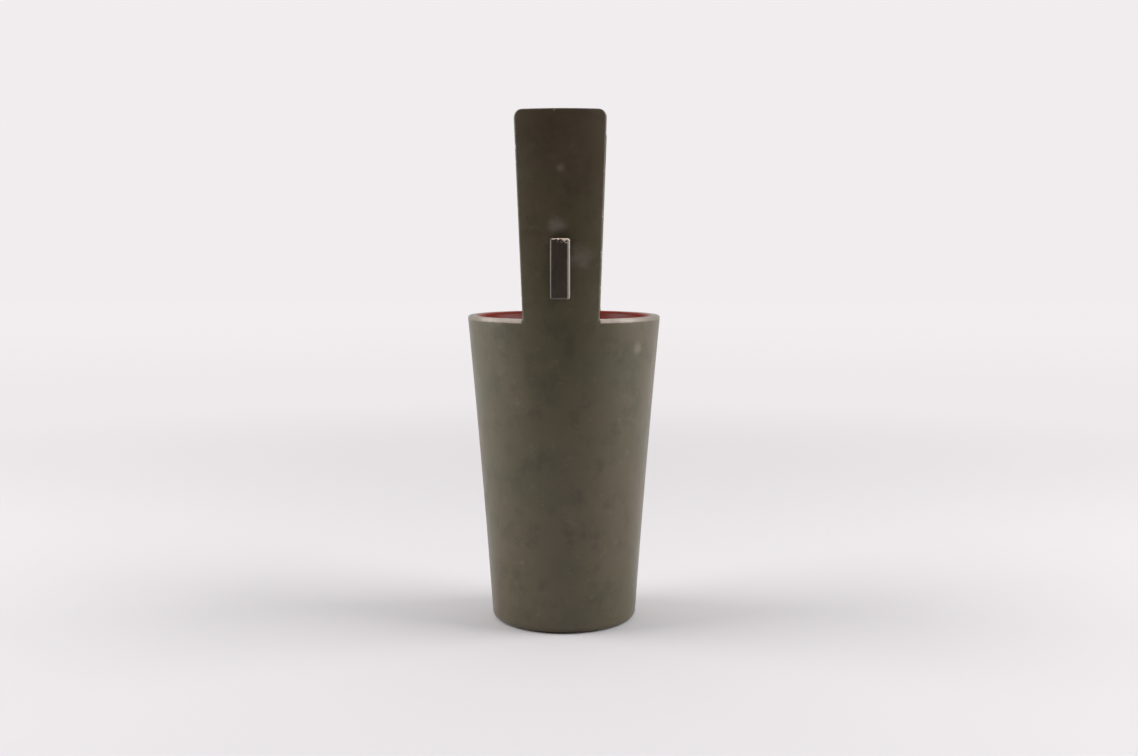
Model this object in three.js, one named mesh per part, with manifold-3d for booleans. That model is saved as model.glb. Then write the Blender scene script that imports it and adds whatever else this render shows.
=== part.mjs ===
// A tall lacquered hand pail for water, built of wooden staves.
// Two wide staves stand above the rim as lugs and carry a crossbar on its through tenons.
// The staves are glued edge to edge and pinned by hidden bamboo pegs, with no hoops.
// The bottom board sits in a groove that runs round the inside of the staves.
// Millimetres, +Z up, origin on the ground below the middle of the pail. The crossbar lies along Y.

import * as THREE from 'three';
import { mergeVertices } from 'three/addons/utils/BufferGeometryUtils.js';
import Module from 'manifold-3d';

const wasm = await Module();
wasm.setup();

// Body
const rimHeight = 239.5;
const rimRadius = 75;
const footRadius = 56.4;
const sideHollow = 0.75; // how far the side curves in from a straight line, halfway up
const wallThickness = 9;
const rimRounding = 2.2;
const rimFlat = 2; // the least flat left on top of the rim
const footRounding = 5;
const footFlat = 2.5; // the least flat left for the pail to stand on

// Staves
const lugStaveAngle = 45; // degrees of the ring that one lug stave fills
const sideStavesPerSide = 6;
const glueLine = 0.1;

// Lugs
const lugRise = 150; // from the rim to the top of a lug
const lugCornerRadius = 6.4;
const lugTopEasing = 1.2;

// Bottom board
const boardLift = 10; // from the ground to the underside of the board
const boardThickness = 9;
const boardEdgeEasing = 0.8;
const grooveDepth = 3;
const grooveSlack = 0.1; // above and below the board's edge
const boardGap = 0.3; // between the board's edge and the bottom of the groove

// Crossbar
const crossbarLift = 15.3; // from the rim to the underside of the tenons
const tenonHeight = 43.5;
const tenonThickness = 14.3;
const tenonRounding = 1.8; // of its long edges
const tenonEndEasing = 1.3; // round the edge of its end
const tenonProud = 9.5; // beyond the lug, at the top of the tenon
const shoulderHeight = 3; // how far the grip stands out above and below the tenons
const shoulderWidth = 2; // how far it stands out on each side
const gripRounding = 7;
const mortiseGap = 0.15;
const shoulderGap = 0.3;

// Bamboo pegs in the joints
const pegRadius = 1.5;
const pegLength = 16;
const pegPointLength = 3;
const pegPointRadius = 0.6;
const pegGap = 0.15;
const lowerPegHeight = 60;
const upperPegDrop = 50; // from the rim down to the upper peg

// Fineness of the solids
const ringFacets = 64;
const sideSteps = 5;
const lugSteps = 3;
const roundingSteps = 3;
const cornerSteps = 5;
const pegSides = 8;
const weldDistance = 1e-4;

// Sizes that follow
const facetAngle = 360 / ringFacets;
const rimEdge = Math.min(rimRounding, (wallThickness - rimFlat) / 2);
const footEdge = Math.min(footRounding, wallThickness - footFlat);
const lugTop = rimHeight + lugRise;
const tenonBottom = rimHeight + crossbarLift;
const tenonTop = tenonBottom + tenonHeight;
const tenonMiddle = (tenonBottom + tenonTop) / 2;
const upperPegHeight = rimHeight - upperPegDrop;
const sideStaveAngle = (180 - lugStaveAngle) / sideStavesPerSide;
const grooveRadius = innerRadius(boardLift) + grooveDepth;
const tenonReach = outerRadius(tenonTop) + tenonProud;

const materials = {
  oliveLacquer: new THREE.MeshStandardMaterial({ color: 0x3a3628, roughness: 0.42, metalness: 0 }),
  redLacquer: new THREE.MeshStandardMaterial({ color: 0x7a2516, roughness: 0.3, metalness: 0 }),
  darkLacquer: new THREE.MeshStandardMaterial({ color: 0x2c2721, roughness: 0.4, metalness: 0 }),
  bamboo: new THREE.MeshStandardMaterial({ color: 0xc9ab6e, roughness: 0.7, metalness: 0 }),
};

/** Outside radius at a height: a slightly hollow side up to the rim, then straight on up the lugs. */
function outerRadius(z) {
  const spread = rimRadius - footRadius;
  const share = z / rimHeight;
  if (share <= 1) {
    return footRadius + spread * share - 4 * sideHollow * share * (1 - share);
  }
  return rimRadius + (spread + 4 * sideHollow) * (share - 1);
}

/** Inside radius at a height. */
function innerRadius(z) {
  return outerRadius(z) - wallThickness;
}

/** A closed three.js geometry as a solid that can be cut and joined. */
function solidOf(geometry) {
  const bare = geometry.clone();
  bare.deleteAttribute('normal');
  bare.deleteAttribute('uv');
  const merged = mergeVertices(bare, weldDistance);
  return new wasm.Manifold(new wasm.Mesh({
    numProp: 3,
    vertProperties: merged.attributes.position.array,
    triVerts: new Uint32Array(merged.index.array),
  }));
}

/** A solid as a three.js geometry. */
function geometryOf(solid) {
  const { vertProperties, triVerts } = solid.getMesh();
  const geometry = new THREE.BufferGeometry();
  geometry.setAttribute('position', new THREE.BufferAttribute(vertProperties, 3));
  geometry.setIndex(new THREE.BufferAttribute(triVerts, 1));
  geometry.computeVertexNormals();
  return geometry;
}

/** A turned shape about the Z axis, from [radius, height] pairs that run anticlockwise. */
function turned(profile) {
  const points = profile.map(([radius, height]) => new THREE.Vector2(radius, height));
  return new THREE.LatheGeometry(points, ringFacets).rotateX(Math.PI / 2);
}

/** Evenly spaced numbers from a to b, both included. */
function spaced(a, b, steps) {
  return Array.from({ length: steps + 1 }, (_, i) => a + (b - a) * i / steps);
}

/** One horizontal section through a stave: its height and how far each side stands in from full. */
function level(z, outerInset = 0, innerInset = 0, edgeInset = 0) {
  return { z, outer: outerRadius(z) - outerInset, inner: innerRadius(z) + innerInset, edgeInset };
}

/** Sections round the outside edge of the foot. */
function footLevels() {
  return spaced(0, Math.PI / 2, roundingSteps).map((turn) => (
    level(footEdge * (1 - Math.cos(turn)), footEdge * (1 - Math.sin(turn)))));
}

/** Sections of a side stave, from the foot to its rounded rim. */
function sideStaveLevels() {
  const wall = spaced(footEdge, rimHeight - rimEdge, sideSteps).slice(1, -1);
  const rim = spaced(0, Math.PI / 2, roundingSteps).map((turn) => {
    const inset = rimEdge * (1 - Math.cos(turn));
    return level(rimHeight - rimEdge * (1 - Math.sin(turn)), inset, inset);
  });
  return [...footLevels(), ...wall.map((z) => level(z)), ...rim];
}

/** Sections of a lug stave, from the foot to the rounded corners of the lug. */
function lugStaveLevels() {
  const wall = spaced(footEdge, rimHeight, sideSteps).slice(1);
  const lug = spaced(rimHeight, lugTop - lugCornerRadius, lugSteps).slice(1, -1);
  const corner = spaced(0, Math.PI / 2, cornerSteps).map((turn) => {
    const z = lugTop - lugCornerRadius * (1 - Math.sin(turn));
    const easing = Math.max(0, z - (lugTop - lugTopEasing));
    return level(z, easing, easing, lugCornerRadius * (1 - Math.cos(turn)));
  });
  return [...footLevels(), ...[...wall, ...lug].map((z) => level(z)), ...corner];
}

/** A closed solid through the sections of a stave that lies between two angles of the ring. */
function staveBlank(levels, fromAngle, toAngle) {
  const steps = Math.round((toAngle - fromAngle) / facetAngle);
  const middle = THREE.MathUtils.degToRad((fromAngle + toAngle) / 2);
  const half = THREE.MathUtils.degToRad((toAngle - fromAngle) / 2);
  const positions = [];
  for (const { z, outer, inner, edgeInset } of levels) {
    for (const radius of [outer, inner]) {
      const reach = half - (glueLine / 2 + edgeInset) / radius;
      for (const turn of spaced(-reach, reach, steps)) {
        positions.push(radius * Math.cos(middle + turn), radius * Math.sin(middle + turn), z);
      }
    }
  }
  const row = steps + 1;
  const outerAt = (l, k) => 2 * row * l + k;
  const innerAt = (l, k) => 2 * row * l + row + k;
  const index = [];
  const quad = (a, b, c, d) => index.push(a, b, c, a, c, d);
  const top = levels.length - 1;
  for (let l = 0; l < top; l += 1) {
    for (let k = 0; k < steps; k += 1) {
      quad(outerAt(l, k), outerAt(l, k + 1), outerAt(l + 1, k + 1), outerAt(l + 1, k));
      quad(innerAt(l, k + 1), innerAt(l, k), innerAt(l + 1, k), innerAt(l + 1, k + 1));
    }
    quad(innerAt(l, 0), outerAt(l, 0), outerAt(l + 1, 0), innerAt(l + 1, 0));
    quad(outerAt(l, steps), innerAt(l, steps), innerAt(l + 1, steps), outerAt(l + 1, steps));
  }
  for (let k = 0; k < steps; k += 1) {
    quad(innerAt(0, k), innerAt(0, k + 1), outerAt(0, k + 1), outerAt(0, k));
    quad(outerAt(top, k), outerAt(top, k + 1), innerAt(top, k + 1), innerAt(top, k));
  }
  const geometry = new THREE.BufferGeometry();
  geometry.setAttribute('position', new THREE.Float32BufferAttribute(positions, 3));
  geometry.setIndex(index);
  return solidOf(geometry);
}

/** The ring that is cut from the inside of the staves for the bottom board. */
function grooveRing() {
  const mouth = innerRadius(boardLift) - grooveDepth;
  const low = boardLift - grooveSlack;
  const high = boardLift + boardThickness + grooveSlack;
  const profile = [[mouth, low], [grooveRadius, low], [grooveRadius, high], [mouth, high], [mouth, low]];
  return solidOf(turned(profile));
}

/** A bamboo peg along Y, pointed at both ends. The same shape, grown by a gap, bores its hole. */
function pegGeometry(gap = 0) {
  const end = pegLength / 2 + gap;
  const shank = end - pegPointLength;
  const point = pegPointRadius + gap;
  const profile = [[0, -end], [point, -end], [pegRadius + gap, -shank],
    [pegRadius + gap, shank], [point, end], [0, end]];
  return new THREE.LatheGeometry(profile.map(([r, y]) => new THREE.Vector2(r, y)), pegSides);
}

/** Where a peg sits: the middle of the wall at a joint, lying square across it. */
function pegPlace(jointAngle, height) {
  const turn = THREE.MathUtils.degToRad(jointAngle);
  const radius = (outerRadius(height) + innerRadius(height)) / 2;
  return { x: radius * Math.cos(turn), y: radius * Math.sin(turn), z: height, turn };
}

/** The blind hole for one peg, as a solid to cut from both staves of its joint. */
function pegHole(jointAngle, height) {
  const { x, y, z, turn } = pegPlace(jointAngle, height);
  return solidOf(pegGeometry(pegGap).rotateZ(turn).translate(x, y, z));
}

/** A bar along Y with a rounded rectangular section, centred on the tenons, its ends eased. */
function bar(width, height, rounding, length, endEasing = 0) {
  const section = new THREE.Shape();
  const x = width / 2 - endEasing;
  const y = height / 2 - endEasing;
  const r = Math.min(rounding - endEasing, x, y);
  section.moveTo(r - x, -y).lineTo(x - r, -y).absarc(x - r, r - y, r, -Math.PI / 2, 0);
  section.lineTo(x, y - r).absarc(x - r, y - r, r, 0, Math.PI / 2);
  section.lineTo(r - x, y).absarc(r - x, y - r, r, Math.PI / 2, Math.PI);
  section.lineTo(-x, r - y).absarc(r - x, r - y, r, Math.PI, 1.5 * Math.PI);
  const geometry = new THREE.ExtrudeGeometry(section, {
    depth: length - 2 * endEasing,
    curveSegments: roundingSteps,
    bevelEnabled: endEasing > 0,
    bevelSize: endEasing,
    bevelThickness: endEasing,
    bevelSegments: 1,
  });
  geometry.translate(0, 0, endEasing - length / 2).rotateX(Math.PI / 2).translate(0, 0, tenonMiddle);
  return solidOf(geometry);
}

/** The crossbar: long tenons right through both lugs, and a grip scribed to the lugs' inside faces. */
function crossbarSolid() {
  const low = tenonBottom - 2 * shoulderHeight;
  const high = tenonTop + 2 * shoulderHeight;
  const between = solidOf(turned([
    [0, low],
    [innerRadius(low) - shoulderGap, low],
    [innerRadius(high) - shoulderGap, high],
    [0, high],
  ]));
  const tenons = bar(tenonThickness, tenonHeight, tenonRounding, 2 * tenonReach, tenonEndEasing);
  const grip = bar(
    tenonThickness + 2 * shoulderWidth,
    tenonHeight + 2 * shoulderHeight,
    gripRounding,
    2 * outerRadius(high),
  );
  return tenons.add(grip.intersect(between));
}

/** The square hole through a lug for the tenon. */
function mortise() {
  const width = tenonThickness + 2 * mortiseGap;
  const height = tenonHeight + 2 * mortiseGap;
  return solidOf(new THREE.BoxGeometry(width, 2 * tenonReach, height).translate(0, 0, tenonMiddle));
}

/** Every stave in order round the ring, with the angles of the joints at its two edges. */
function staveRing() {
  const ring = [];
  let angle = -90 - lugStaveAngle / 2;
  const add = (name, width, isLug) => {
    ring.push({ name, from: angle, to: angle + width, isLug });
    angle += width;
  };
  for (const [lug, side] of [['front', 'right'], ['back', 'left']]) {
    add(`lug_stave_${lug}`, lugStaveAngle, true);
    for (let i = 1; i <= sideStavesPerSide; i += 1) {
      add(`side_stave_${side}_${i}`, sideStaveAngle, false);
    }
  }
  return ring;
}

/** A finished stave: its blank with the groove, the peg holes and, on a lug stave, the mortise cut. */
function staveMesh({ name, from, to, isLug }) {
  let solid = staveBlank(isLug ? lugStaveLevels() : sideStaveLevels(), from, to).subtract(grooveRing());
  for (const joint of [from, to]) {
    for (const height of [lowerPegHeight, upperPegHeight]) {
      solid = solid.subtract(pegHole(joint, height));
    }
  }
  if (isLug) {
    solid = solid.subtract(mortise());
  }
  return namedMesh(name, geometryOf(solid), materials.oliveLacquer);
}

/** A mesh with a name. */
function namedMesh(name, geometry, material) {
  const mesh = new THREE.Mesh(geometry, material);
  mesh.name = name;
  return mesh;
}

/** The round bottom board. */
function bottomBoard() {
  const edge = grooveRadius - boardGap;
  const profile = [
    [0, 0],
    [edge - boardEdgeEasing, 0],
    [edge, boardEdgeEasing],
    [edge, boardThickness - boardEdgeEasing],
    [edge - boardEdgeEasing, boardThickness],
    [0, boardThickness],
  ];
  const board = namedMesh('bottom_board', turned(profile), materials.redLacquer);
  board.position.z = boardLift;
  return board;
}

/** The bamboo pegs, one low and one high in every joint. */
function pegs(staves) {
  const group = new THREE.Group();
  staves.forEach(({ from }, i) => {
    for (const [where, height] of [['lower', lowerPegHeight], ['upper', upperPegHeight]]) {
      const name = `joint_peg_${where}_${String(i + 1).padStart(2, '0')}`;
      const peg = namedMesh(name, pegGeometry(), materials.bamboo);
      const { x, y, z, turn } = pegPlace(from, height);
      peg.position.set(x, y, z);
      peg.rotation.z = turn;
      group.add(peg);
    }
  });
  return group;
}

const ring = staveRing();
const pail = new THREE.Group();
pail.add(...ring.map(staveMesh));
pail.add(bottomBoard());
pail.add(namedMesh('crossbar', geometryOf(crossbarSolid()), materials.darkLacquer));
pail.add(pegs(ring));

export default pail;
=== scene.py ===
"""A tall lacquered hand pail: turned staves, a scribed crossbar, a bottom board and their finishes."""

from math import atan2, cos, hypot, pi, radians, sin

import bpy
from bpy.props import FloatProperty, FloatVectorProperty, IntProperty, PointerProperty
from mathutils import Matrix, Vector


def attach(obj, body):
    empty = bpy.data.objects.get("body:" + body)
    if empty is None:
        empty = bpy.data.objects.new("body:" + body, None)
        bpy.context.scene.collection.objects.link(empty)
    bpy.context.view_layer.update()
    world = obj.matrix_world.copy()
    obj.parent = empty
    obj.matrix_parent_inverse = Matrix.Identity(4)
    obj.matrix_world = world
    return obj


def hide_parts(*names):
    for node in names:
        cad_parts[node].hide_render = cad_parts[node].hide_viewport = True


bl_info = {
    "name": "Lacquered Hand Pail",
    "version": (1, 0, 0),
    "blender": (4, 5, 0),
    "location": "View3D > Sidebar > Pail",
    "description": "Builds a stave-built lacquered hand pail with a crossbar handle",
    "category": "Add Mesh",
}

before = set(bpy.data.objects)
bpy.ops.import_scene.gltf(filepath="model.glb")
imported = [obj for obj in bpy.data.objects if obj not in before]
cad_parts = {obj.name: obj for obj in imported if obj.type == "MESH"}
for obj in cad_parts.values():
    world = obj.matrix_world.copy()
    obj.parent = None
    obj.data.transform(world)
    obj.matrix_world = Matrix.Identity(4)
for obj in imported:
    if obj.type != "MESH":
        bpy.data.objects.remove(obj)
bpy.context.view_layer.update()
MM = 0.001

# How finely the round surfaces are divided
SIDE_STAVE_STEPS = 44
LUG_STAVE_STEPS = 96
LUG_EDGE_STEPS = 6
LUG_CORNER_STEPS = 10
LUG_FADE_STEPS = 6
LUG_TOP_STEPS = 5
RIM_STEPS = 6
FOOT_STEPS = 7
OUTER_WALL_STEPS = 26
INNER_WALL_STEPS = 22
BOARD_SIDES = 192
BOARD_EDGE_STEPS = 3
COVE_STEPS = 7
TENON_EDGE_STEPS = 5
MORTISE_EDGE_STEPS = 4
GRIP_EDGE_STEPS = 10
SCRIBE_SIDES = 256
DRILL_SIDES = 16

# Rings over the flat of the board, as shares of the wall's radius
BOARD_RINGS = (0.75, 0.5, 0.25, 0.08)

# Hairlines that keep the board and its fillet clear of the wall
BOARD_HAIRLINE = 0.02 * MM
COVE_HAIRLINE = 0.05 * MM

# Rings closer than this are left out, points closer than this are merged, and sharper edges stay hard
CLOSEST_RINGS = 0.15 * MM
CLOSEST_POINTS = 0.001 * MM
HARD_EDGE = radians(35)

# A face whose normal points at least this far up or down is flat
FLAT = 0.9


def millimetres(name, description, value):
    """A length property, with its default given in millimetres."""
    return FloatProperty(
        name=name, description=description, default=value * MM, min=0, subtype="DISTANCE", unit="LENGTH")


def degrees(name, description, value):
    """An angle property, with its default given in degrees."""
    return FloatProperty(
        name=name, description=description, default=radians(value), subtype="ANGLE", unit="ROTATION")


def linear(screen):
    """The light of a screen value from 0 to 255, as a share of full light."""
    share = screen / 255
    return share / 12.92 if share <= 0.04045 else ((share + 0.055) / 1.055) ** 2.4


def colour(name, description, red, green, blue):
    """A colour property, with its default given as screen values from 0 to 255."""
    return FloatVectorProperty(
        name=name, description=description, default=(linear(red), linear(green), linear(blue), 1),
        size=4, min=0, max=1, subtype="COLOR")


class PailSizes(bpy.types.PropertyGroup):
    """Sizes of the pail."""
    rim_height: millimetres("Rim height", "From the ground to the rim", 239.5)
    rim_radius: millimetres("Rim radius", "Outside, at the rim", 75)
    foot_radius: millimetres("Foot radius", "Outside, at the ground, before the foot is rounded", 56.4)
    side_hollow: millimetres("Side hollow", "How far the side curves in halfway up", 0.75)
    wall: millimetres("Wall", "Thickness of the staves", 9)
    rim_rounding: millimetres("Rim rounding", "Radius of both edges of the rim", 2.2)
    foot_rounding: millimetres("Foot rounding", "Radius of the outside edge of the foot", 5)
    lug_rise: millimetres("Lug rise", "From the rim to the top of a lug", 150)
    lug_corner: millimetres("Lug corner", "Radius of the lug's top corners", 6.4)
    lug_edge: millimetres("Lug edge", "Radius of the lug's long edges", 1.9)
    lug_root: millimetres("Lug root", "Height above the rim of the finer rings at a lug's root", 5)
    lug_top_edge: millimetres("Lug top edge", "Radius of the lug's top edges", 1.4)
    board_lift: millimetres("Board lift", "From the ground to the underside of the board", 10)
    board_thickness: millimetres("Board thickness", "Thickness of the bottom board", 9)
    board_edge: millimetres("Board edge", "Radius of the board's lower edge", 0.8)
    board_gap: millimetres("Board gap", "Between the board's edge and the bottom of its groove", 0.3)
    board_cove: millimetres("Board cove", "Radius of the lacquer fillet where board meets wall", 2)
    groove_depth: millimetres("Groove depth", "Depth of the groove that holds the board", 3)
    groove_slack: millimetres("Groove slack", "Play above and below the board's edge", 0.1)
    crossbar_lift: millimetres("Crossbar lift", "From the rim to the underside of the tenons", 15.3)
    tenon_height: millimetres("Tenon height", "Height of the crossbar's tenons", 43.5)
    tenon_thickness: millimetres("Tenon thickness", "Thickness of the crossbar's tenons", 14.3)
    tenon_proud: millimetres("Tenon proud", "How far the tenons stand out of the lugs at their top", 9.5)
    tenon_rounding: millimetres("Tenon rounding", "Radius of the tenon's edges", 1.7)
    mortise_gap: millimetres("Mortise gap", "Play round the tenon", 0.15)
    shoulder_height: millimetres("Shoulder height", "How far the grip stands out above and below", 3)
    shoulder_width: millimetres("Shoulder width", "How far the grip stands out on each side", 2)
    shoulder_gap: millimetres("Shoulder gap", "Between the grip's ends and the lugs", 0.3)
    grip_rounding: millimetres("Grip rounding", "Radius of the grip's long edges", 7)
    peg_radius: millimetres("Peg radius", "Radius of the bamboo pegs", 1.5)
    peg_length: millimetres("Peg length", "Length of the bamboo pegs", 16)
    peg_gap: millimetres("Peg gap", "Play round the pegs", 0.15)
    lower_peg: millimetres("Lower peg", "Height of the lower pegs", 60)
    upper_peg_drop: millimetres("Upper peg drop", "From the rim down to the upper pegs", 50)
    lug_stave_angle: degrees("Lug stave angle", "Share of the ring that one lug stave fills", 45)
    side_staves: IntProperty(name="Side staves", description="Side staves on each side", default=6, min=1)


class PailColours(bpy.types.PropertyGroup):
    """Colours of the lacquer and the wood."""
    olive: colour("Olive lacquer", "Outside of the pail", 90, 81, 62)
    olive_dark: colour("Dark patches", "Darker patches of the outside", 36, 34, 24)
    olive_green: colour("Green cast", "Greener patches of the outside", 82, 78, 57)
    olive_brown: colour("Brown cast", "Browner patches, mostly on the lugs", 80, 68, 54)
    red: colour("Red lacquer", "Inside of the pail", 168, 50, 27)
    red_dark: colour("Dark red", "Deeper patches of the inside", 140, 40, 24)
    # Haze is also the pale colour of the painted highlight along the tenon ends' edges
    haze: colour("Haze", "Rubbed, dry patches of the lacquer", 160, 150, 140)
    # The chip colour also paints the rim band, which is partly painted highlight on the rim's outer rounding
    chip_and_rim_highlight: colour("Chip", "Worn edges and small chips", 214, 196, 184)
    bar: colour("Crossbar lacquer", "Crossbar and tenons", 60, 52, 44)
    bare_wood: colour("Bare wood", "Worn top corners of the tenon ends", 226, 204, 186)
    bamboo: colour("Bamboo", "Pegs", 201, 171, 110)
    bamboo_dark: colour("Bamboo fibre", "Dark fibres of the pegs", 150, 116, 66)
    floor: colour("Floor", "Studio floor", 202, 199, 201)
    # Painted shade: the floor's colour where the lacquer reflects it on the camera's side
    floor_dark: colour("Dark floor", "Floor behind the camera, as the lacquer reflects it", 25, 25, 25)
    backdrop: colour("Backdrop", "Studio backdrop", 241, 237, 239)


class PailStudio(bpy.types.PropertyGroup):
    """Camera, lamps, room and floor."""
    focal_length: FloatProperty(
        name="Focal length", description="Lens, on a 36 mm sensor", default=41.1, unit="CAMERA")
    distance: millimetres("Distance", "From the camera to the middle of the pail", 1016)
    eye_height: millimetres("Eye height", "Height of the camera", 292)
    pitch: degrees("Pitch", "Tilt down", 5.75)
    turn: degrees("Turn", "Round the pail, towards +X", 1.85)
    aim: degrees("Aim", "Turned right of the pail", 0.222)
    side_light: FloatProperty(
        name="Side light", description="Power of the left lamp", default=33, min=0, unit="POWER")
    right_share: FloatProperty(
        name="Right share", description="Power of the right lamp, as a share of the left one",
        default=1.08, min=0)
    top_light: FloatProperty(
        name="Top light", description="Power of the lamp overhead", default=5, min=0, unit="POWER")
    room_front: FloatProperty(
        name="Room front", description="Light of the room behind the camera", default=0.05, min=0)
    room_back: FloatProperty(
        name="Room back", description="Light of the room behind the pail", default=0.86, min=0)
    floor_size: millimetres("Floor size", "Side of the square floor", 12000)


def sizes():
    """The pail's sizes."""
    return bpy.context.scene.pail_sizes


def colours():
    """The pail's colours."""
    return bpy.context.scene.pail_colours


def outer_radius(z):
    """Outside radius at a height: a slightly hollow side, then straight on up the lugs."""
    s = sizes()
    spread = s.rim_radius - s.foot_radius
    share = z / s.rim_height
    if share <= 1:
        return s.foot_radius + spread * share - 4 * s.side_hollow * share * (1 - share)
    return s.rim_radius + (spread + 4 * s.side_hollow) * (share - 1)


def inner_radius(z):
    """Inside radius at a height."""
    return outer_radius(z) - sizes().wall


def spaced(a, b, steps):
    """Evenly spaced numbers from a to b, both included."""
    return [a + (b - a) * i / steps for i in range(steps + 1)]


def deselect():
    """Leaves nothing selected, in object mode."""
    if bpy.context.object and bpy.context.object.mode != "OBJECT":
        bpy.ops.object.mode_set(mode="OBJECT")
    bpy.ops.object.select_all(action="DESELECT")


def activate(piece):
    """Selects one piece alone."""
    deselect()
    piece.select_set(True)
    bpy.context.view_layer.objects.active = piece


def named(name):
    """Names the object that was just added, and its mesh."""
    piece = bpy.context.object
    piece.name = name
    piece.data.name = name
    return piece


def settle(piece):
    """Puts a piece's place, turn and scale into its mesh."""
    activate(piece)
    bpy.ops.object.transform_apply(location=True, rotation=True, scale=True)


def cut(piece, cutter, operation="DIFFERENCE"):
    """Cuts or joins a piece with another, which is then removed."""
    activate(piece)
    boolean = piece.modifiers.new("Boolean", "BOOLEAN")
    boolean.operation = operation
    boolean.solver = "EXACT"
    boolean.object = cutter
    bpy.ops.object.modifier_apply(modifier=boolean.name)
    bpy.data.objects.remove(cutter)


def edit_all(piece):
    """Opens a piece in edit mode with everything selected."""
    activate(piece)
    bpy.ops.object.mode_set(mode="EDIT")
    bpy.ops.mesh.select_all(action="SELECT")


def edit_faces(piece, test):
    """Opens a piece in edit mode with only the faces selected that pass a test."""
    edit_all(piece)
    bpy.ops.mesh.select_mode(type="FACE")
    bpy.ops.mesh.select_all(action="DESELECT")
    bpy.ops.object.mode_set(mode="OBJECT")
    for face in piece.data.polygons:
        face.select = test(face)
    bpy.ops.object.mode_set(mode="EDIT")


def clean(piece):
    """Merges doubles, turns the faces outwards and smooths the shading between hard edges."""
    edit_all(piece)
    bpy.ops.mesh.remove_doubles(threshold=CLOSEST_POINTS)
    bpy.ops.mesh.select_all(action="SELECT")
    bpy.ops.mesh.normals_make_consistent(inside=False)
    bpy.ops.object.mode_set(mode="OBJECT")
    bpy.ops.object.shade_smooth_by_angle(angle=HARD_EDGE)


def finish_piece(piece, node, material):
    """Hangs a piece on the pail's body in place of its CAD node, and gives it its material."""
    piece.data.materials.append(material)
    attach(piece, "root")
    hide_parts(node)


def spun(name, profile, angle, sweep, steps):
    """A piece turned about Z through a sweep, from a closed profile of (radius, height) points."""
    deselect()
    bpy.ops.mesh.primitive_circle_add(vertices=len(profile), radius=sizes().wall, fill_type="NGON")
    piece = named(name)
    for vertex, (radius, height) in zip(piece.data.vertices, profile):
        vertex.co = (radius * cos(angle), radius * sin(angle), height)
    edit_all(piece)
    # Spin turns clockwise, seen from above, for a positive angle
    bpy.ops.mesh.spin(steps=steps, angle=-sweep, center=(0, 0, 0), axis=(0, 0, 1))
    clean(piece)
    return piece


def wall_profile(top_points, more_heights=()):
    """The closed outline of a stave's wall: up the outside, over the top and down inside, past the groove."""
    s = sizes()
    outline = []
    for turn in spaced(0, pi / 2, FOOT_STEPS):
        height = s.foot_rounding * (1 - cos(turn))
        outline.append((outer_radius(height) - s.foot_rounding * (1 - sin(turn)), height))
    outer = spaced(s.foot_rounding, top_points[0][1], OUTER_WALL_STEPS)
    outline += [(outer_radius(z), z) for z in with_more(outer, more_heights)[1:-1]]
    outline += top_points
    groove_top = s.board_lift + s.board_thickness + s.groove_slack
    groove_low = s.board_lift - s.groove_slack
    inner = spaced(top_points[-1][1], groove_top, INNER_WALL_STEPS)
    outline += [(inner_radius(z), z) for z in with_more(inner, more_heights)[1:]]
    groove = inner_radius(s.board_lift) + s.groove_depth
    outline += [(groove, groove_top), (groove, groove_low), (inner_radius(groove_low), groove_low)]
    outline.append((inner_radius(0), 0))
    return outline


def with_more(heights, more):
    """Heights with more added between their ends, in the same order, leaving out close doubles."""
    first, last = heights[0], heights[-1]
    result = list(heights)
    for height in more:
        clear = min(abs(height - other) for other in result) >= CLOSEST_RINGS
        if clear and min(first, last) < height < max(first, last):
            result.append(height)
    return sorted(result, reverse=first > last)


def rounded_top(height, rounding, steps):
    """Points over the top of the wall, with both of its edges rounded."""
    outer = []
    inner = []
    for turn in spaced(0, pi / 2, steps):
        z = height - rounding * (1 - sin(turn))
        inset = rounding * (1 - cos(turn))
        outer.append((outer_radius(z) - inset, z))
        inner.append((inner_radius(z) + inset, z))
    return outer + inner[::-1]


def bore_joint(piece, angle):
    """Drills the blind holes for the two pegs of one joint."""
    s = sizes()
    for height in (s.lower_peg, s.rim_height - s.upper_peg_drop):
        radius = (outer_radius(height) + inner_radius(height)) / 2
        deselect()
        bpy.ops.mesh.primitive_cylinder_add(
            vertices=DRILL_SIDES, radius=s.peg_radius + s.peg_gap, depth=s.peg_length + 2 * s.peg_gap,
            location=(radius * cos(angle), radius * sin(angle), height), rotation=(pi / 2, 0, angle))
        drill = named("peg_drill")
        settle(drill)
        cut(piece, drill)


class PAIL_OT_side_staves(bpy.types.Operator):
    """Models one side stave with its groove and peg holes, and copies it round the ring"""
    bl_idname = "pail.side_staves"
    bl_label = "Side Staves"

    def execute(self, context):
        s = sizes()
        start = -pi / 2 + s.lug_stave_angle / 2
        sweep = (pi - s.lug_stave_angle) / s.side_staves
        profile = wall_profile(rounded_top(s.rim_height, s.rim_rounding, RIM_STEPS))
        first = spun("side_stave", profile, start, sweep, SIDE_STAVE_STEPS)
        bore_joint(first, start)
        bore_joint(first, start + sweep)
        clean(first)
        for side, turn in (("right", 0), ("left", pi)):
            for i in range(s.side_staves):
                node = f"side_stave_{side}_{i + 1}"
                stave = first.copy()
                stave.data = first.data.copy()
                context.collection.objects.link(stave)
                stave.name = f"{node}_lacquered"
                stave.data.name = stave.name
                stave.rotation_euler.z = turn + i * sweep
                settle(stave)
                finish_piece(stave, node, lacquer())
        bpy.data.objects.remove(first)
        return {"FINISHED"}


def lug_heights():
    """Heights at which a lug needs more rings: along its top corners and where its rounding begins."""
    s = sizes()
    top = s.rim_height + s.lug_rise
    corner = [top - s.lug_corner * (1 - sin(turn)) for turn in spaced(0, pi / 2, LUG_CORNER_STEPS)]
    return corner + spaced(s.rim_height - s.rim_rounding, s.rim_height + s.lug_root, LUG_FADE_STEPS)


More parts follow.
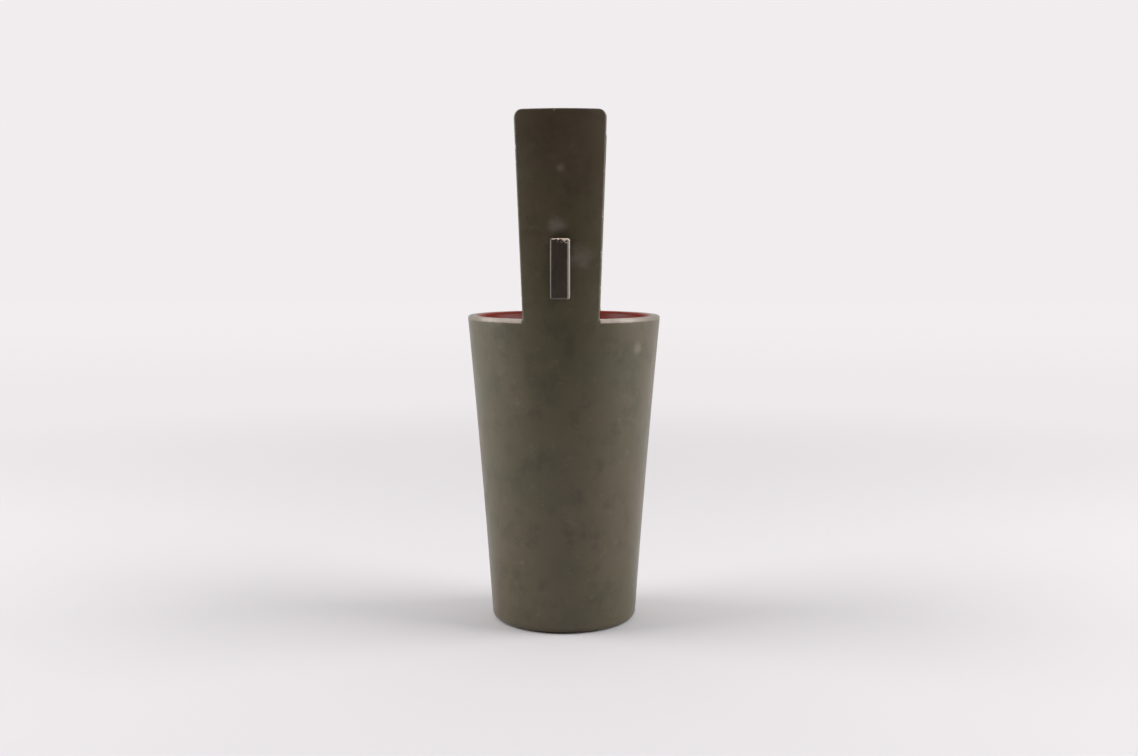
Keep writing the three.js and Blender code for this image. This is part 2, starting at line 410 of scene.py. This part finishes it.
def shape_lug(piece, middle):
    """Rounds the long edges and top corners of a lug, whose grid of points was turned evenly."""
    s = sizes()
    half = s.lug_stave_angle / 2
    columns = LUG_STAVE_STEPS / 2
    root = s.rim_height - s.rim_rounding
    growing = 3 * s.rim_rounding
    corner_base = s.rim_height + s.lug_rise - s.lug_corner
    for vertex in piece.data.vertices:
        x, y, z = vertex.co
        if z <= root:
            continue
        growth = min(1, (z - root) / growing)
        rounding = s.lug_edge * growth
        radius = hypot(x, y)
        turn = (atan2(y, x) - middle + pi) % (2 * pi) - pi
        even = abs(turn) / half
        column = (1 - even) * columns
        # The outer columns follow a quarter circle, and the rest share out what is left
        if round(column) < LUG_EDGE_STEPS:
            curve = column / LUG_EDGE_STEPS * pi / 2
            edge = rounding * (1 - cos(curve))
            outside = radius > outer_radius(z) - s.wall / 2
            radius += rounding * (1 - sin(curve)) * (-1 if outside else 1)
        else:
            share = (column - LUG_EDGE_STEPS) / (columns - LUG_EDGE_STEPS)
            edge = rounding + share * (half * radius - rounding)
        place = growth * (1 - edge / (half * radius)) + (1 - growth) * even
        # Beside a top corner, each row draws in along the corner's arc
        above = min(1, max(0, z - corner_base) / s.lug_corner)
        reach = half - s.lug_corner * (1 - (1 - above * above) ** 0.5) / radius
        angle = middle + (place * reach if turn > 0 else -place * reach)
        vertex.co.x = radius * cos(angle)
        vertex.co.y = radius * sin(angle)


def tenon_top():
    """Height of the top of the tenons."""
    s = sizes()
    return s.rim_height + s.crossbar_lift + s.tenon_height


def tenon_middle():
    """Height of the middle of the tenons."""
    s = sizes()
    return s.rim_height + s.crossbar_lift + s.tenon_height / 2


def tenon_reach():
    """Distance from the middle of the pail to the end of a tenon."""
    return outer_radius(tenon_top()) + sizes().tenon_proud


def block(name, width, depth, height, rounding, steps, only_along_bar=False):
    """A box on the crossbar's line with rounded edges, all of them or only those along the bar."""
    deselect()
    bpy.ops.mesh.primitive_cube_add(size=1, location=(0, 0, tenon_middle()))
    piece = named(name)
    piece.scale = (width, depth, height)
    settle(piece)
    edit_all(piece)
    bpy.ops.mesh.select_all(action="DESELECT")
    bpy.ops.object.mode_set(mode="OBJECT")
    for edge in piece.data.edges:
        start, end = (piece.data.vertices[v].co for v in edge.vertices)
        along_bar = abs(start.y - end.y) > depth / 2
        edge.select = along_bar or not only_along_bar
    bpy.ops.object.mode_set(mode="EDIT")
    bpy.ops.mesh.select_mode(type="EDGE")
    bpy.ops.mesh.bevel(offset=rounding, offset_type="OFFSET", segments=steps, affect="EDGES")
    bpy.ops.object.mode_set(mode="OBJECT")
    return piece


class PAIL_OT_lug_staves(bpy.types.Operator):
    """Models the two staves that rise above the rim, with their mortises"""
    bl_idname = "pail.lug_staves"
    bl_label = "Lug Staves"

    def execute(self, context):
        s = sizes()
        top_points = rounded_top(s.rim_height + s.lug_rise, s.lug_top_edge, LUG_TOP_STEPS)
        profile = wall_profile(top_points, lug_heights())
        play = 2 * s.mortise_gap
        for node, middle in (("lug_stave_front", -pi / 2), ("lug_stave_back", pi / 2)):
            start = middle - s.lug_stave_angle / 2
            stave = spun(f"{node}_lacquered", profile, start, s.lug_stave_angle, LUG_STAVE_STEPS)
            shape_lug(stave, middle)
            bore_joint(stave, start)
            bore_joint(stave, start + s.lug_stave_angle)
            cut(stave, block(
                "mortise_cutter", s.tenon_thickness + play, 2 * tenon_reach() + play, s.tenon_height + play,
                s.tenon_rounding, MORTISE_EDGE_STEPS, only_along_bar=True))
            clean(stave)
            finish_piece(stave, node, lacquer())
        return {"FINISHED"}


class PAIL_OT_crossbar(bpy.types.Operator):
    """Models the crossbar: tenons through both lugs, and a grip scribed to their inside faces"""
    bl_idname = "pail.crossbar"
    bl_label = "Crossbar"

    def execute(self, context):
        s = sizes()
        bar = block(
            "crossbar_lacquered", s.tenon_thickness, 2 * tenon_reach(), s.tenon_height, s.tenon_rounding,
            TENON_EDGE_STEPS)
        grip = block(
            "grip", s.tenon_thickness + 2 * s.shoulder_width, 2 * s.rim_radius,
            s.tenon_height + 2 * s.shoulder_height, s.grip_rounding, GRIP_EDGE_STEPS, only_along_bar=True)
        cut(grip, self.space_between_lugs(), "INTERSECT")
        cut(bar, grip, "UNION")
        clean(bar)
        finish_piece(bar, "crossbar", crossbar_lacquer())
        return {"FINISHED"}

    def space_between_lugs(self):
        """The room between the lugs' inside faces, less the gap at each shoulder."""
        s = sizes()
        low = tenon_middle() - s.tenon_height
        high = tenon_middle() + s.tenon_height
        deselect()
        bpy.ops.mesh.primitive_cone_add(
            vertices=SCRIBE_SIDES, radius1=inner_radius(low) - s.shoulder_gap,
            radius2=inner_radius(high) - s.shoulder_gap, depth=high - low, location=(0, 0, (low + high) / 2))
        space = named("between_lugs")
        settle(space)
        return space


class PAIL_OT_bottom_board(bpy.types.Operator):
    """Models the bottom board with its eased edge and the fillet of lacquer along the wall"""
    bl_idname = "pail.bottom_board"
    bl_label = "Bottom Board"

    def execute(self, context):
        s = sizes()
        radius = inner_radius(s.board_lift) + s.groove_depth - s.board_gap
        deselect()
        bpy.ops.mesh.primitive_cylinder_add(
            vertices=BOARD_SIDES, radius=radius, depth=s.board_thickness,
            location=(0, 0, s.board_lift + s.board_thickness / 2))
        board = named("bottom_board_lacquered")
        settle(board)
        edit_faces(board, lambda face: face.normal.z > FLAT)
        reach, level = radius, s.board_lift + s.board_thickness
        for ring, height in self.top_rings():
            bpy.ops.mesh.inset(thickness=max(reach - ring, CLOSEST_POINTS), use_even_offset=True)
            bpy.ops.transform.translate(value=(0, 0, height - level))
            reach, level = ring, height
        edit_faces(board, lambda face: face.normal.z < -FLAT)
        bpy.ops.mesh.region_to_loop()
        bpy.ops.mesh.bevel(offset=s.board_edge, segments=BOARD_EDGE_STEPS, affect="EDGES")
        clean(board)
        finish_piece(board, "bottom_board", lacquer())
        return {"FINISHED"}

    def top_rings(self):
        """Radius and height of rings from the wall inwards: up the wall, down the fillet, over the flat."""
        s = sizes()
        top = s.board_lift + s.board_thickness
        cove = s.board_cove
        wall = inner_radius(top + cove) - COVE_HAIRLINE
        rings = [(inner_radius(top) - BOARD_HAIRLINE, top), (wall, top + cove)]
        for turn in spaced(0, pi / 2, COVE_STEPS)[1:]:
            rings.append((wall - cove * (1 - cos(turn)), top + cove * (1 - sin(turn))))
        return rings + [(wall * share, top) for share in BOARD_RINGS]


class PAIL_OT_pegs(bpy.types.Operator):
    """Gives the bamboo pegs inside the joints their fibres"""
    bl_idname = "pail.pegs"
    bl_label = "Pegs"

    def execute(self, context):
        for name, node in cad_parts.items():
            if name.startswith("joint_peg"):
                node.data.materials.clear()
                node.data.materials.append(bamboo())
        return {"FINISHED"}


class Recipe:
    """The nodes of a material or a room, with short ways to add more."""

    def __init__(self, owner, shader, place):
        owner.use_nodes = True
        self.owner = owner
        self.tree = owner.node_tree
        self.shader = self.tree.nodes[shader]
        self.place = self.node("ShaderNodeTexCoord").outputs[place]

    def node(self, kind, **settings):
        """A node with its settings."""
        node = self.tree.nodes.new(kind)
        for key, value in settings.items():
            setattr(node, key, value)
        return node

    def feed(self, socket, value):
        """Links a socket, or sets its value."""
        if isinstance(value, bpy.types.NodeSocket):
            self.tree.links.new(value, socket)
        else:
            socket.default_value = value

    def math(self, operation, a, b=0.0):
        """One sum."""
        node = self.node("ShaderNodeMath", operation=operation)
        self.feed(node.inputs[0], a)
        self.feed(node.inputs[1], b)
        return node.outputs[0]

    def product(self, *values):
        """Values multiplied together."""
        result = values[0]
        for value in values[1:]:
            result = self.math("MULTIPLY", result, value)
        return result

    def noise(self, scale, detail=3.0, roughness=0.5, vector=None):
        """Noise from 0 to 1, at so many features a metre."""
        node = self.node("ShaderNodeTexNoise")
        self.feed(node.inputs["Vector"], vector or self.place)
        node.inputs["Scale"].default_value = scale
        node.inputs["Detail"].default_value = detail
        node.inputs["Roughness"].default_value = roughness
        return node.outputs["Fac"]

    def stretched(self, x, y, z):
        """The place, scaled on each axis. A pattern is drawn out where the scale is small."""
        node = self.node("ShaderNodeMapping")
        self.feed(node.inputs["Vector"], self.place)
        node.inputs["Scale"].default_value = (x, y, z)
        return node.outputs["Vector"]

    def step(self, value, low, high, to_low=0.0, to_high=1.0):
        """A soft step: to_low at low and to_high at high. low may be the larger of the two."""
        node = self.node("ShaderNodeMapRange", interpolation_type="SMOOTHSTEP")
        self.feed(node.inputs["Value"], value)
        self.feed(node.inputs["From Min"], low)
        self.feed(node.inputs["From Max"], high)
        self.feed(node.inputs["To Min"], to_low)
        self.feed(node.inputs["To Max"], to_high)
        return node.outputs["Result"]

    def mix(self, share, a, b):
        """Two colours mixed."""
        node = self.node("ShaderNodeMix", data_type="RGBA")
        self.feed(node.inputs["Factor"], share)
        self.feed(node.inputs["A"], a)
        self.feed(node.inputs["B"], b)
        return node.outputs["Result"]

    def axes(self):
        """x, y and z of the place."""
        node = self.node("ShaderNodeSeparateXYZ")
        self.feed(node.inputs[0], self.place)
        return node.outputs

    def radius(self):
        """Distance from the pail's middle line."""
        x, y, _ = self.axes()
        return self.math("SQRT", self.math("ADD", self.product(x, x), self.product(y, y)))

    def camera_ray(self):
        """1 where the camera looks straight at a thing, and 0 in its light and reflections."""
        return self.node("ShaderNodeLightPath").outputs["Is Camera Ray"]

    def spot(self, centre, size, weight):
        """A soft ragged spot about a place."""
        node = self.node("ShaderNodeVectorMath", operation="DISTANCE")
        self.feed(node.inputs[0], self.place)
        node.inputs[1].default_value = centre
        ragged = self.product(self.noise(140, 3, 0.6), size * 0.9)
        distance = self.math("ADD", node.outputs["Value"], ragged)
        return self.step(distance, size * 1.25, size * 0.35, 0.0, weight)

    def bumps(self, *layers):
        """Bumps on the surface, from (height, millimetres) pairs."""
        normal = None
        for height, depth in layers:
            node = self.node("ShaderNodeBump")
            node.inputs["Distance"].default_value = depth * MM
            self.feed(node.inputs["Height"], height)
            if normal:
                self.feed(node.inputs["Normal"], normal)
            normal = node.outputs["Normal"]
        self.feed(self.shader.inputs["Normal"], normal)


def material_recipe(name):
    """The nodes of a new material."""
    return Recipe(bpy.data.materials.new(name), "Principled BSDF", "Object")


def once(build):
    """Makes a material the first time it is asked for, and gives the same one after that."""
    def made():
        name = f"{build.__name__}_finish"
        return bpy.data.materials.get(name) or build(material_recipe(name))
    return made


def inner_face(m):
    """Radius of the wall's inside: as inner_radius has it up to the rim, and close to it above."""
    s = sizes()
    share = m.math("DIVIDE", m.axes()[2], s.rim_height)
    bow = m.product(share, m.math("SUBTRACT", 1.0, share), 4 * s.side_hollow)
    spread = m.product(share, s.rim_radius - s.foot_radius)
    return m.math("SUBTRACT", m.math("ADD", spread, s.foot_radius - s.wall), bow)


def from_red_edge(m):
    """Distance outwards from the wandering line on the rim where the red lacquer ends."""
    wander = m.product(m.math("SUBTRACT", m.noise(70, 2), 0.5), 0.9 * MM)
    edge = m.math("ADD", m.math("ADD", inner_face(m), 2 * MM), wander)
    return m.math("SUBTRACT", m.radius(), edge)


def inside_of_pail(m):
    """1 on the inside of the pail, from the board up to the rim, and 0 elsewhere."""
    s = sizes()
    z = m.axes()[2]
    return m.product(
        m.step(from_red_edge(m), 0.15 * MM, -0.15 * MM),
        m.step(z, s.rim_height + 0.3 * MM, s.rim_height - 0.1 * MM),
        m.step(z, s.board_lift - 0.1 * MM, s.board_lift + 1.5 * MM))


def olive_lacquer(m):
    """Olive, browner up the lugs, with cloudy patches, dark mottling, dry flecks and faint streaks."""
    s = sizes()
    c = colours()
    up_the_lug = m.step(m.axes()[2], s.rim_height * 0.95, s.rim_height + s.lug_rise, 0.0, 0.75)
    clouds = m.noise(7, 2, 0.5, m.stretched(1.6, 1.6, 0.5))
    streaks = m.noise(90, 3, 0.6, m.stretched(1.0, 1.0, 0.12))
    olive = m.mix(m.step(m.noise(16, 4, 0.6), 0.38, 0.68), c.olive, c.olive_green)
    olive = m.mix(up_the_lug, olive, c.olive_brown)
    olive = m.mix(m.step(clouds, 0.35, 0.75, 0.0, 0.30), olive, c.olive_brown)
    olive = m.mix(m.step(m.noise(55, 5, 0.62), 0.28, 0.54, 0.30, 0.0), olive, c.olive_dark)
    olive = m.mix(m.step(m.noise(120, 4, 0.6), 0.55, 0.85, 0.0, 0.12), olive, c.haze)
    return m.mix(m.step(streaks, 0.52, 0.75, 0.0, 0.16), olive, c.olive_green)


def red_lacquer(m):
    """Red, with broad deeper patches."""
    c = colours()
    return m.mix(m.step(m.noise(16, 4, 0.6), 0.35, 0.7), c.red, c.red_dark)


def scuffs(m):
    """Rubbed spots: over and beside the front tenon, high on that lug, and two below the rim."""
    top = tenon_top()
    front = -outer_radius(top)
    result = m.spot((-2.4 * MM, front, top + 9 * MM), 13 * MM, 1.0)
    for centre, size, weight in (
            ((15.5 * MM, front, top - 14 * MM), 17 * MM, 0.8),
            ((0.5 * MM, front - 4 * MM, top + 50 * MM), 6 * MM, 0.7),
            ((57 * MM, -46 * MM, 217 * MM), 8 * MM, 0.8),
            ((-38 * MM, 74 * MM, 196 * MM), 9 * MM, 0.6)):
        result = m.math("MAXIMUM", result, m.spot(centre, size, weight))
    return result


def specks(m):
    """Fine pale specks, in loose groups."""
    cells = m.node("ShaderNodeTexVoronoi", feature="F1")
    m.feed(cells.inputs["Vector"], m.place)
    cells.inputs["Scale"].default_value = 330
    groups = m.step(m.noise(60, 2), 0.55, 0.7)
    return m.product(m.step(cells.outputs["Distance"], 0.16, 0.08, 0.0, 0.35), groups)


def lug_angle(m):
    """Angle from the middle of the nearer lug."""
    x, y, _ = m.axes()
    return m.math("ARCTAN2", m.math("ABSOLUTE", x), m.math("ABSOLUTE", y))


def lug_chips(m):
    """Ragged chips along the edges of the lugs."""
    s = sizes()
    z = m.axes()[2]
    from_side = m.product(m.math("SUBTRACT", s.lug_stave_angle / 2, lug_angle(m)), m.radius())
    from_top = m.math("SUBTRACT", s.rim_height + s.lug_rise, z)
    from_inner = m.math("SUBTRACT", m.radius(), inner_face(m))
    from_face = m.math("MINIMUM", from_inner, m.math("SUBTRACT", s.wall, from_inner))
    from_edge = m.math("MAXIMUM", m.math("MINIMUM", from_side, from_top), from_face)
    ragged = m.step(m.noise(150, 5, 0.7), 0.54, 0.76, 0.0, 2.2 * MM)
    return m.product(
        m.step(m.math("SUBTRACT", from_edge, ragged), 0.6 * MM, 0.3 * MM, 0.0, 0.55),
        m.step(z, s.rim_height + 1 * MM, s.rim_height + 4 * MM))


def rim_wear_and_highlight(m):
    """A pale band over the rim's outer rounding, from the red to just below the outer edge, strongest beside
    the lugs: partly wear, partly painted highlight on the rounding.
    """
    s = sizes()
    half = s.lug_stave_angle / 2
    ragged = m.math("ADD", m.axes()[2], m.product(m.noise(110, 4, 0.6), 1.2 * MM))
    return m.product(
        m.step(ragged, s.rim_height - 2.6 * MM, s.rim_height - 1.9 * MM),
        m.step(lug_angle(m), half, half + 0.01),
        m.step(lug_angle(m), 0.7, 1.25, 1.0, 0.2),
        m.step(from_red_edge(m), -0.1 * MM, 0.3 * MM),
        m.step(m.noise(60, 4, 0.6), 0.35, 0.6, 0.4, 0.62))


@once
def lacquer(m):
    """Olive lacquer outside and red lacquer inside, with haze, specks, chipped lug edges and a pale rim band
    that is partly wear and partly painted highlight.
    """
    c = colours()
    inside = inside_of_pail(m)
    haze = scuffs(m)
    # Chips along the lugs, and the rim band, which is partly wear and partly painted highlight
    wear_and_highlight = m.math("MAXIMUM", lug_chips(m), rim_wear_and_highlight(m))
    base = m.mix(inside, olive_lacquer(m), red_lacquer(m))
    base = m.mix(m.product(haze, 0.34), base, c.haze)
    base = m.mix(m.step(m.noise(34, 5, 0.65), 0.60, 0.80, 0.0, 0.10), base, c.haze)
    base = m.mix(specks(m), base, c.haze)
    base = m.mix(wear_and_highlight, base, c.chip_and_rim_highlight)
    m.feed(m.shader.inputs["Base Color"], base)

    rough = m.step(m.noise(26, 4, 0.6), 0.3, 0.75, 0.30, 0.42)
    rough = m.math("ADD", rough, m.product(m.math("MAXIMUM", haze, wear_and_highlight), 0.2))
    rough = m.math("ADD", rough, m.product(inside, 0.1))
    m.feed(m.shader.inputs["Roughness"], rough)
    m.shader.inputs["Specular IOR Level"].default_value = 0.42
    m.bumps((m.noise(22, 2), 0.8), (m.noise(420, 3, 0.6), 0.04), (wear_and_highlight, 0.06))
    return m.owner


@once
def crossbar_lacquer(m):
    """Dark lacquer over fine grain, chipped to bare wood on top, with pale bands along the tenon ends' edges
    that are partly wear and partly painted highlight, broadest down the front tenon's right edge.
    """
    s = sizes()
    c = colours()
    x, y, z = m.axes()
    half = s.tenon_thickness / 2
    from_end = m.math("SUBTRACT", tenon_reach(), m.math("ABSOLUTE", y))
    from_top = m.math("SUBTRACT", tenon_top(), z)
    from_low = m.math("SUBTRACT", s.tenon_height, from_top)
    from_side = m.math("SUBTRACT", half, m.math("ABSOLUTE", x))
    from_right = m.math("SUBTRACT", half, x)

    grain = m.noise(420, 4, 0.6, m.stretched(1.0, 0.04, 0.35))
    base = m.mix(m.step(grain, 0.35, 0.7, 0.0, 0.35), c.bar, c.olive_brown)
    base = m.mix(m.step(m.noise(30, 3), 0.55, 0.8, 0.0, 0.25), base, c.olive_green)

    rub = m.product(m.noise(300, 4, 0.7), 0.9 * MM)
    # Pale bands along the side and bottom edges of both tenon ends: partly wear, partly painted highlight on
    # the rounded edges
    thin_edge_wear_and_highlight = m.math("ADD", rub, m.math("MAXIMUM", from_end, m.math("MINIMUM", from_side, from_low)))
    base = m.mix(m.step(thin_edge_wear_and_highlight, 1.6 * MM, 1.0 * MM, 0.0, 0.24), base, c.haze)
    # A broad pale band down the right edge of the front tenon's end: painted highlight from the right lamp on
    # the rounded edge, partly wear
    right_edge_highlight_and_wear = m.math("ADD", rub, m.math("MAXIMUM", from_end, from_right))
    right_edge_highlight_and_wear = m.product(m.step(right_edge_highlight_and_wear, 2.7 * MM, 2.1 * MM, 0.0, 0.85), m.step(y, 1 * MM, -1 * MM))
    base = m.mix(right_edge_highlight_and_wear, base, c.haze)

    chip_depth = m.step(x, -half, half, 1.2 * MM, 3.8 * MM)
    ragged = m.product(m.step(m.noise(520, 5, 0.7), 0.42, 0.66), chip_depth)
    chips = m.product(
        m.step(m.math("SUBTRACT", from_top, ragged), 0.5 * MM, -0.1 * MM),
        m.step(from_end, 4 * MM, 1.5 * MM))
    base = m.mix(chips, base, c.bare_wood)
    m.feed(m.shader.inputs["Base Color"], base)
    m.feed(m.shader.inputs["Roughness"], m.step(m.noise(60, 3), 0.3, 0.7, 0.30, 0.44))
    m.bumps((grain, 0.05), (chips, 0.25))
    return m.owner


@once
def bamboo(m):
    """Split bamboo: pale, with darker fibres that run along each peg, round the ring."""
    c = colours()
    x, y, z = m.axes()
    across = m.node("ShaderNodeCombineXYZ")
    m.feed(across.inputs[0], m.radius())
    m.feed(across.inputs[1], z)
    m.feed(across.inputs[2], m.product(m.math("ARCTAN2", y, x), 4 * MM))
    fibres = m.noise(2600, 3, 0.6, across.outputs[0])
    m.feed(m.shader.inputs["Base Color"], m.mix(m.step(fibres, 0.45, 0.7), c.bamboo, c.bamboo_dark))
    m.feed(m.shader.inputs["Roughness"], m.step(fibres, 0.3, 0.7, 0.5, 0.7))
    m.bumps((fibres, 0.08))
    return m.owner


class PAIL_OT_stage(bpy.types.Operator):
    """Sets up the floor, the backdrop, the lamps and the camera"""
    bl_idname = "pail.stage"
    bl_label = "Studio"

    def execute(self, context):
        studio = context.scene.pail_studio
        self.floor(studio)
        self.lamps(studio)
        context.scene.world = self.room(studio)
        context.scene.camera = self.camera(studio)
        context.scene.view_settings.view_transform = "Standard"
        return {"FINISHED"}

    def floor(self, studio):
        """A broad pale floor that fades into the backdrop. The lacquer sees it dark on the camera's side:
        painted shade in the reflections, standing in for the dark room there.
        """
        c = colours()
        deselect()
        bpy.ops.mesh.primitive_plane_add(size=studio.floor_size)
        ground = named("studio_floor")
        settle(ground)
        # Metres from the pail for the fade and the glow, and metres along Y for the dark side
        fade_start, fade_end = 0.25, 1.5
        dark_end, pale_start = -1.0, -0.45
        glow_start, glow_end, first_glow = 1.2, 4.0, 0.955
        m = material_recipe("studio_floor")
        distance = m.radius()
        far = m.step(distance, fade_start, fade_end)
        # Painted shade: on the camera's side, rays other than the camera's own see the floor dark
        pale = m.math("MAXIMUM", m.camera_ray(), m.step(m.axes()[1], dark_end, pale_start))
        near = m.product(m.math("SUBTRACT", 1.0, far), pale)
        m.feed(m.shader.inputs["Base Color"], m.mix(near, c.floor_dark, c.floor))
        m.feed(m.shader.inputs["Emission Color"], c.backdrop)
        glow = m.product(far, pale, m.step(distance, glow_start, glow_end, first_glow, 1.0))
        m.feed(m.shader.inputs["Emission Strength"], glow)
        m.shader.inputs["Specular IOR Level"].default_value = 0
        m.feed(m.shader.inputs["Roughness"], m.step(m.noise(3, 2), 0.3, 0.7, 0.75, 0.85))
        ground.data.materials.append(m.owner)

    def lamps(self, studio):
        """Soft lamps at both sides and overhead, all turned to the pail."""
        target = Vector((0, 0, 0.15))
        for name, place, size, power in (
                ("lamp_left", (-1.6, -0.12, 1.0), (1.3, 1.7), studio.side_light),
                ("lamp_right", (1.6, -0.12, 1.0), (1.3, 1.7), studio.side_light * studio.right_share),
                ("lamp_over", (0, 0, 2.1), (2.4, 2.0), studio.top_light)):
            deselect()
            bpy.ops.object.light_add(type="AREA", location=place)
            lamp = named(name)
            lamp.data.shape = "RECTANGLE"
            lamp.data.size, lamp.data.size_y = size
            lamp.data.energy = power
            lamp.rotation_euler = (target - lamp.location).to_track_quat("-Z", "Y").to_euler()

    def room(self, studio):
        """Light from all round, dim behind the camera, with a plain pale backdrop for the camera's eye."""
        front, back = -0.6, 0.35
        m = Recipe(bpy.data.worlds.new("studio_room"), "Background", "Generated")
        light = m.step(m.axes()[1], front, back, studio.room_front, studio.room_back)
        m.feed(m.shader.inputs["Color"], m.mix(m.camera_ray(), light, colours().backdrop))
        return m.owner

    def camera(self, studio):
        """The camera, a little to the right of the pail's front and tilted down to it."""
        distance = studio.distance
        deselect()
        bpy.ops.object.camera_add(
            location=(distance * sin(studio.turn), -distance * cos(studio.turn), studio.eye_height),
            rotation=(pi / 2 - studio.pitch, 0, studio.turn - studio.aim))
        camera = named("camera")
        camera.data.sensor_width = 36
        camera.data.lens = studio.focal_length
        return camera


class PAIL_PT_panel(bpy.types.Panel):
    """The pail's pieces, in the order they are made"""
    bl_idname = "PAIL_PT_panel"
    bl_label = "Hand Pail"
    bl_space_type = "VIEW_3D"
    bl_region_type = "UI"
    bl_category = "Pail"

    def draw(self, context):
        for operator in STEPS:
            self.layout.operator(operator.bl_idname)
        for group in (context.scene.pail_sizes, context.scene.pail_colours, context.scene.pail_studio):
            for name in group.__annotations__:
                self.layout.prop(group, name)


STEPS = (
    PAIL_OT_side_staves,
    PAIL_OT_lug_staves,
    PAIL_OT_crossbar,
    PAIL_OT_bottom_board,
    PAIL_OT_pegs,
    PAIL_OT_stage,
)
GROUPS = (PailSizes, PailColours, PailStudio)


def register():
    """Registers the add-on's classes and settings."""
    for cls in (*GROUPS, *STEPS, PAIL_PT_panel):
        bpy.utils.register_class(cls)
    bpy.types.Scene.pail_sizes = PointerProperty(type=PailSizes)
    bpy.types.Scene.pail_colours = PointerProperty(type=PailColours)
    bpy.types.Scene.pail_studio = PointerProperty(type=PailStudio)


def unregister():
    """Takes the add-on's classes and settings away."""
    del bpy.types.Scene.pail_studio
    del bpy.types.Scene.pail_colours
    del bpy.types.Scene.pail_sizes
    for cls in reversed((*GROUPS, *STEPS, PAIL_PT_panel)):
        bpy.utils.unregister_class(cls)


def main():
    register()
    for operator in STEPS:
        _, action = operator.bl_idname.split(".")
        getattr(bpy.ops.pail, action)()
    deselect()


if __name__ == "__main__":
    main()
